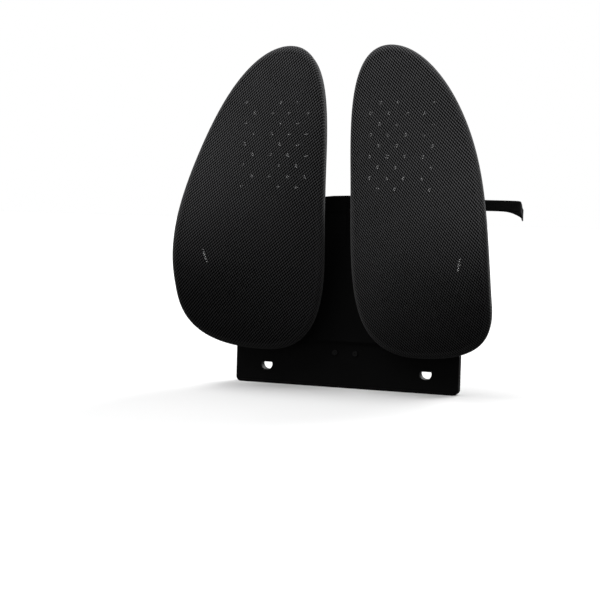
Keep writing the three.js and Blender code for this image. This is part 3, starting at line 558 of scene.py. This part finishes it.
def cutter(places):
    """Round rods through every vent and a flat one through the slot, as one object."""
    b = bmesh.new()
    add_rod(b, *SLOT["at"], 1, 28, SLOT["lean"], (SLOT["half_width"], SLOT["half_height"]))
    for x, z in places:
        add_rod(b, x, z, VENTS["radius"], 20)
    return object_from(b, "vents")


def hub_place(x, y, z):
    """A place in the hub's own turned frame, in mm, as a place in the frame's metres."""
    c, s = math.cos(TURN), math.sin(TURN)
    return Vector((PITCH[0] + x * c - y * s, PITCH[1] + x * s + y * c, PITCH[2] + z - LOWERED)) * MM


def cut(piece, tool):
    """Takes the tool's shape out of a piece, and removes the tool."""
    modifier = piece.modifiers.new("cut", "BOOLEAN")
    modifier.operation = "DIFFERENCE"
    modifier.solver = "EXACT"
    modifier.object = tool
    bpy.context.view_layer.update()
    graph = bpy.context.evaluated_depsgraph_get()
    mesh = bpy.data.meshes.new_from_object(piece.evaluated_get(graph))
    piece.modifiers.clear()
    piece.data = mesh
    bpy.data.objects.remove(tool)


def shell_boss(name):
    """The flat round boss on the shell's back that the hub is screwed to, down into the sheet."""
    c, s = math.cos(TURN), math.sin(TURN)
    count = 72

    def to_sheet(u, w):
        """How far back from the hub's axis the middle of the sheet is, found in a few steps."""
        v = BOSS_REAR
        for _ in range(4):
            x = PITCH[0] + u * c - v * s
            sheet = float(rim_depth(x, PITCH[2] + w)) + SHEET_MIDDLE
            v = (sheet - PITCH[1] - u * s) / c
        return v

    b = bmesh.new()
    rings = []
    for radius, rear in (
        (BOSS_RADIUS, None),
        (BOSS_RADIUS, BOSS_REAR - BOSS_CHAMFER),
        (BOSS_RADIUS - BOSS_CHAMFER, BOSS_REAR),
    ):
        circle = []
        for angle in np.linspace(0, 2 * math.pi, count, endpoint=False):
            u, w = radius * math.cos(angle), radius * math.sin(angle)
            v = to_sheet(u, w) if rear is None else rear
            circle.append(b.verts.new(hub_place(u, v, w)))
        rings.append(circle)
    for near, far in zip(rings, rings[1:]):
        for i in range(count):
            j = (i + 1) % count
            b.faces.new((near[i], near[j], far[j], far[i]))
    b.faces.new(rings[0])
    b.faces.new(rings[-1][::-1])
    bmesh.ops.recalc_face_normals(b, faces=b.faces)
    piece = object_from(b, name, [SHELL_PLASTIC])
    shade_by_angle(piece)
    return piece


def wing_shell(name):
    """The perforated shell: a thin sheet and its turned-back flange."""
    outline = wing_outline(160)
    inner = SHELL_INSET + SHEET
    rings = [ring(outline, s, SHELL_INSET * s, -SHELL_SINK) for s in np.linspace(0.08, 1.0, 14)]
    flange = ((SHELL_INSET, 0.5), (SHELL_INSET, 1), (inner, 1))
    rings += [ring(outline, 1, inset, 0, back) for inset, back in flange]
    rings += [ring(outline, s, inner * s, -SHELL_SINK - SHEET) for s in np.linspace(1.0, 0.08, 14)]
    count = len(outline)
    centre = np.array(CENTRE, float)
    depth = rim_depth(*centre) + SHELL_SINK
    vertices = np.vstack(rings + [[[centre[0], depth, centre[1]], [centre[0], depth + SHEET, centre[1]]]])
    faces = []
    for r in range(len(rings) - 1):
        for i in range(count):
            j = (i + 1) % count
            faces.append((r * count + i, r * count + j, (r + 1) * count + j, (r + 1) * count + i))
    front, rear, last = len(vertices) - 2, len(vertices) - 1, (len(rings) - 1) * count
    for i in range(count):
        j = (i + 1) % count
        faces.append((front, j, i))
        faces.append((rear, last + i, last + j))
    points = row(vertices[:, 0], vertices[:, 1], vertices[:, 2])
    piece = mesh_of(name, points, faces, [SHELL_PLASTIC], smooth=False)
    cut(piece, cutter(vent_places(outline)))
    return piece


def shell_ribs(name):
    """The shell's five ribs, whose ends die into the flange."""
    outline = wing_outline(160)
    b = bmesh.new()
    for degrees in RIB_ANGLES:
        c, s = math.cos(math.radians(degrees)), math.sin(math.radians(degrees))
        reach = np.arange(RIB["start"], RIB["end"], RIB["step"])
        spots = [(PITCH[0] + t * c, PITCH[2] + t * s) for t in reach]
        judged = zip(spots, *inside(spots, outline))
        spots = [place for place, within, gap in judged if within and gap > RIB["off_rim"]]
        sections = []
        for i, (x, z) in enumerate(spots):
            depth = rim_depth(x, z)
            foot, ridge = depth + SHEET_MIDDLE, depth + (RIB_HEIGHT - RIB_FALL * i / len(spots))
            half, slim = RIB_HALF, RIB_HALF * RIB_TAPER
            corners = [
                (x - s * half, foot, z + c * half),
                (x + s * half, foot, z - c * half),
                (x + s * slim, ridge, z - c * slim),
                (x - s * slim, ridge, z + c * slim),
            ]
            sections.append([b.verts.new(Vector((p[0], p[1], p[2] - LOWERED)) * MM) for p in corners])
        for first, second in zip(sections, sections[1:]):
            for k in range(4):
                m = (k + 1) % 4
                b.faces.new((first[k], first[m], second[m], second[k]))
        b.faces.new(sections[0][::-1])
        b.faces.new(sections[-1])
    bmesh.ops.recalc_face_normals(b, faces=b.faces)
    return object_from(b, name, [SHELL_PLASTIC])


def retainer(name):
    """The ring that clamps the hem: a shallow rounded channel section."""
    outline = wing_outline(200)
    rings = [ring(outline, 1, inset, -depth, 1) for inset, depth in RETAINER_SECTION]
    flats = [r[:, [0, 2]] for r in rings]
    return lofted(name, rings, flats, [SHELL_PLASTIC], closed=True)


def rounded(piece, width):
    """Softens a CAD piece's sharp edges."""
    bevel = piece.modifiers.new("bevel", "BEVEL")
    bevel.width = width
    bevel.segments = 2
    bevel.limit_method = "ANGLE"
    bevel.angle_limit = math.radians(BEVEL_ANGLE)
    bevel.harden_normals = True


def shade_by_angle(piece):
    """Smooth shading except across sharp edges."""
    mesh = piece.data
    mesh.polygons.foreach_set("use_smooth", [True] * len(mesh.polygons))
    b = bmesh.new()
    b.from_mesh(mesh)
    for edge in b.edges:
        edge.smooth = len(edge.link_faces) == 2 and edge.calc_face_angle(0) < math.radians(SMOOTH_ANGLE)
    b.to_mesh(mesh)
    b.free()


# ---- Strap ----


def strap_line(end, slider):
    """The strap's middle line on the right side, in mm: out, round the backrest's edge and in behind."""
    edge, rear, corner = STRAP["edge"], STRAP["rear"], STRAP["corner"]
    flat_end = (edge - FLAT_END, FRONT_DEPTH)
    points = [(STRAP["bar"] + 7, BAR_DEPTH), flat_end]
    curve = bezier(flat_end, (edge - 8, -1.6), (edge, -1.0), (edge, corner - 3), 16)
    points += [tuple(p) for p in curve[1:]]
    points += [(edge, corner), (edge, rear - corner)]
    back = bezier((edge, rear - corner), (edge, rear - 3), (edge - 3, rear), (edge - corner, rear), 10)
    points += [tuple(p) for p in back[1:]]
    points.append((edge - corner, rear))
    if slider:
        for x in np.arange(-SLIDER_X + SLIDER_REACH, -SLIDER_X - SLIDER_REACH, -1.0):
            near = np.clip(1.6 * (1 - abs(x + SLIDER_X) / 8), 0, 1)
            points.append((x, rear + SLIDER_RISE * near**2 * (3 - 2 * near)))
    points.append((end, rear))
    fine = np.array(points, float)
    run = length_along(fine)
    at = np.arange(0, run[-1], 1.5)
    return np.column_stack([np.interp(at, run, fine[:, 0]), np.interp(at, run, fine[:, 1])]), at


def swept(name, side, line, run, section, shaped):
    """A band along a line in the level plane, closed at both ends.

    The section gives each corner's height in half widths and its offset from the line, and shaped gives
    the crease and the sag that a corner adds to them.
    """
    tangent = np.gradient(line, axis=0)
    tangent /= np.linalg.norm(tangent, axis=1)[:, None]
    normal = np.column_stack([tangent[:, 1], -tangent[:, 0]])
    half = STRAP["width"] / 2
    vertices, flat = [], []
    for (x, y), (nx, ny), s in zip(line, normal, run):
        for v, k in section:
            crease, sag = shaped(x, y, s, v)
            off = k + crease
            vertices.append((side * (x + nx * off), y + ny * off, STRAP["height"] - sag + half * v))
            flat.append((s, half * v))
    width = len(section)
    faces = []
    for i in range(len(line) - 1):
        for k in range(width):
            m = (k + 1) % width
            face = (i * width + k, i * width + m, (i + 1) * width + m, (i + 1) * width + k)
            faces.append(face if side > 0 else face[::-1])
    ends = [tuple(range(width)), tuple(range(len(vertices) - width, len(vertices)))[::-1]]
    faces += ends if side < 0 else [e[::-1] for e in ends]
    vertices = np.array(vertices)
    points = row(vertices[:, 0], vertices[:, 1], vertices[:, 2])
    return mesh_of(name, points, faces, [ELASTIC], np.array(flat) * MM)


def strap(name, side, end, slider):
    """Elastic webbing: a thin ribbon with bound edges, creased and sagging round the backrest's edge."""
    profile = [(-1, 0.55), (-0.93, 1), (-0.6, 0.9), (0, 0.9), (0.6, 0.9), (0.93, 1), (1, 0.55)]
    section = [(v, STRAP_HALF_THICK * k) for v, k in profile + [(v, -k) for v, k in reversed(profile)]]

    def shaped(x, y, s, v):
        reach = SAG_REACH if y < SAG_AT else SAG_REACH_BEHIND
        sag = SAG * math.exp(-((math.hypot(STRAP["edge"] - x, y - SAG_AT) / reach) ** 2))
        near = math.exp(-(((y - CREASE_AT) / CREASE_BEHIND) ** 2))
        near *= math.exp(-(((x - STRAP["edge"]) / CREASE_BESIDE) ** 2))
        return near * CREASE * math.sin(9 * v + 0.35 * s) * (1 - v * v), sag

    return swept(name, side, *strap_line(end, slider), section, shaped)


def folded_end(name, side):
    """The strap's end, folded round the loop's bar and sewn to itself."""
    bar, y0 = STRAP["bar"], BAR_DEPTH
    path = [(bar + 8.5, y0 + 1.2), (bar + 2, y0 + 3.1)]
    for angle in np.linspace(90, 270, 13):
        a = math.radians(angle)
        path.append((bar - 3 + FOLD_RADIUS * math.cos(a), y0 + FOLD_RADIUS * math.sin(a)))
    line = np.array(path + [(bar + 2, y0 - 3.1), (bar + 8.5, y0 - 1.2)])
    section = [(v, STRAP_HALF_THICK) for v in (-1, 0, 1)] + [(v, -STRAP_HALF_THICK) for v in (1, 0, -1)]
    return swept(name, side, line, length_along(line), section, lambda x, y, s, v: (0, 0))


# ---- The pieces ----


def finish_cad():
    """Materials and softened edges for the CAD pieces that stay."""
    finishes = [
        (("spine_screw",), BLACK_STEEL, 0.00025),
        (("screw", "pin_"), STEEL, 0.00025),
        (("grip_pad", "bush"), RUBBER, 0.0005),
        (("wing_hub", "swing_arm", "pivot_block"), SHELL_PLASTIC, 0.0006),
        (("",), PLATE_PLASTIC, 0.0006),
    ]
    for name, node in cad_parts.items():
        material, width = next((m, w) for keys, m, w in finishes if any(key in name for key in keys))
        node.data.materials.clear()
        node.data.materials.append(material)
        rounded(node, width)


finish_cad()

shells = {"right": wing_shell("shell_right")}
covers = {"right": wing_cover("cover_right")}
ribs = {"right": shell_ribs("shell_ribs_right")}
bosses = {"right": shell_boss("shell_boss_right")}
clamps = {"right": retainer("retainer_right")}
backings = {"right": wing_backing("cover_backing_right")}
for made in (shells, covers, ribs, bosses, clamps, backings):
    made["left"] = mirrored(made["right"], made["right"].name.replace("right", "left"))

for label in ("right", "left"):
    body = f"{label}_wing"
    for piece, node, finish in (
        (shells[label], f"wing_shell_{label}", "shell_plastic"),
        (covers[label], f"wing_cover_{label}", "wing_mesh"),
        (clamps[label], f"cover_retainer_{label}", "shell_plastic"),
    ):
        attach(piece, body)
        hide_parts(node)
    shade_by_angle(shells[label])
    for piece in (ribs[label], bosses[label]):
        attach(piece, body)
    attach(backings[label], body)

for label, side, end, slider in (("right", 1, TAIL + BUCKLE_X, False), ("left", -1, TAIL - BUCKLE_X, True)):
    ribbon = strap(f"strap_ribbon_{label}", side, end, slider)
    fold = folded_end(f"strap_fold_{label}", side)
    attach(ribbon, "back")
    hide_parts(f"strap_{label}")
    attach(fold, "back")


# ---- Camera, light and floor ----


def studio():
    """A pale floor that doesn't light the object, under a sky that is brightest overhead and looks white."""
    b = bmesh.new()
    bmesh.ops.create_grid(b, x_segments=8, y_segments=8, size=30)
    floor = object_from(b, "floor", [matte("pale floor", (0.94, 0.94, 0.94), 0.02)])
    floor.location.z = -LOWERED * MM
    floor.visible_diffuse = False
    floor.visible_glossy = False

    world = bpy.data.worlds.new("studio")
    world.use_nodes = True
    nodes, links = world.node_tree.nodes, world.node_tree.links
    nodes["Background"].inputs["Color"].default_value = (1, 1, 1, 1)
    direction = nodes.new("ShaderNodeTexCoord")
    parts = nodes.new("ShaderNodeSeparateXYZ")
    links.new(direction.outputs["Generated"], parts.inputs[0])
    sky = nodes.new("ShaderNodeMapRange")
    for key, value in (("From Min", -0.4), ("From Max", 1.0), ("To Min", 0.06), ("To Max", 0.55)):
        sky.inputs[key].default_value = value
    links.new(parts.outputs[2], sky.inputs["Value"])
    path = nodes.new("ShaderNodeLightPath")
    strength = nodes.new("ShaderNodeMapRange")
    strength.inputs["To Max"].default_value = 1.0
    links.new(sky.outputs[0], strength.inputs["To Min"])
    links.new(path.outputs["Is Camera Ray"], strength.inputs["Value"])
    links.new(strength.outputs[0], nodes["Background"].inputs["Strength"])
    bpy.context.scene.world = world


def soft_light(name, towards, strength, spread):
    """A distant soft light, as wide across as the spread in degrees, so the floor is lit evenly."""
    light = bpy.data.lights.new(name, "SUN")
    light.energy = strength
    light.angle = math.radians(spread)
    lamp = linked(name, light)
    lamp.rotation_mode = "QUATERNION"
    lamp.rotation_quaternion = Vector(towards).to_track_quat("-Z", "Y")


def camera():
    """The photo's viewpoint, as worked out from its vanishing points and the chair's size."""
    data = bpy.data.cameras.new("camera")
    data.lens = 78.6
    data.sensor_width = 36
    eye = linked("camera", data)
    forward = Vector((-0.3121, 0.9477, -0.0672)).normalized()
    up = Vector((-0.0472, 0.0552, 0.9974))
    right = forward.cross(up).normalized()
    turn = Matrix((right, right.cross(forward), -forward)).transposed()
    eye.matrix_world = Matrix.Translation((0.5185, -1.8027, 0.1093)) @ turn.to_4x4()
    bpy.context.scene.camera = eye


studio()
soft_light("key", (0.5, 0.35, -1.0), 2.2, 60)
soft_light("fill", (-0.5, 0.4, -0.9), 0.3, 70)
soft_light("rim", (-0.35, -0.9, -0.6), 2.0, 40)
camera()
bpy.context.scene.view_settings.view_transform = "Standard"
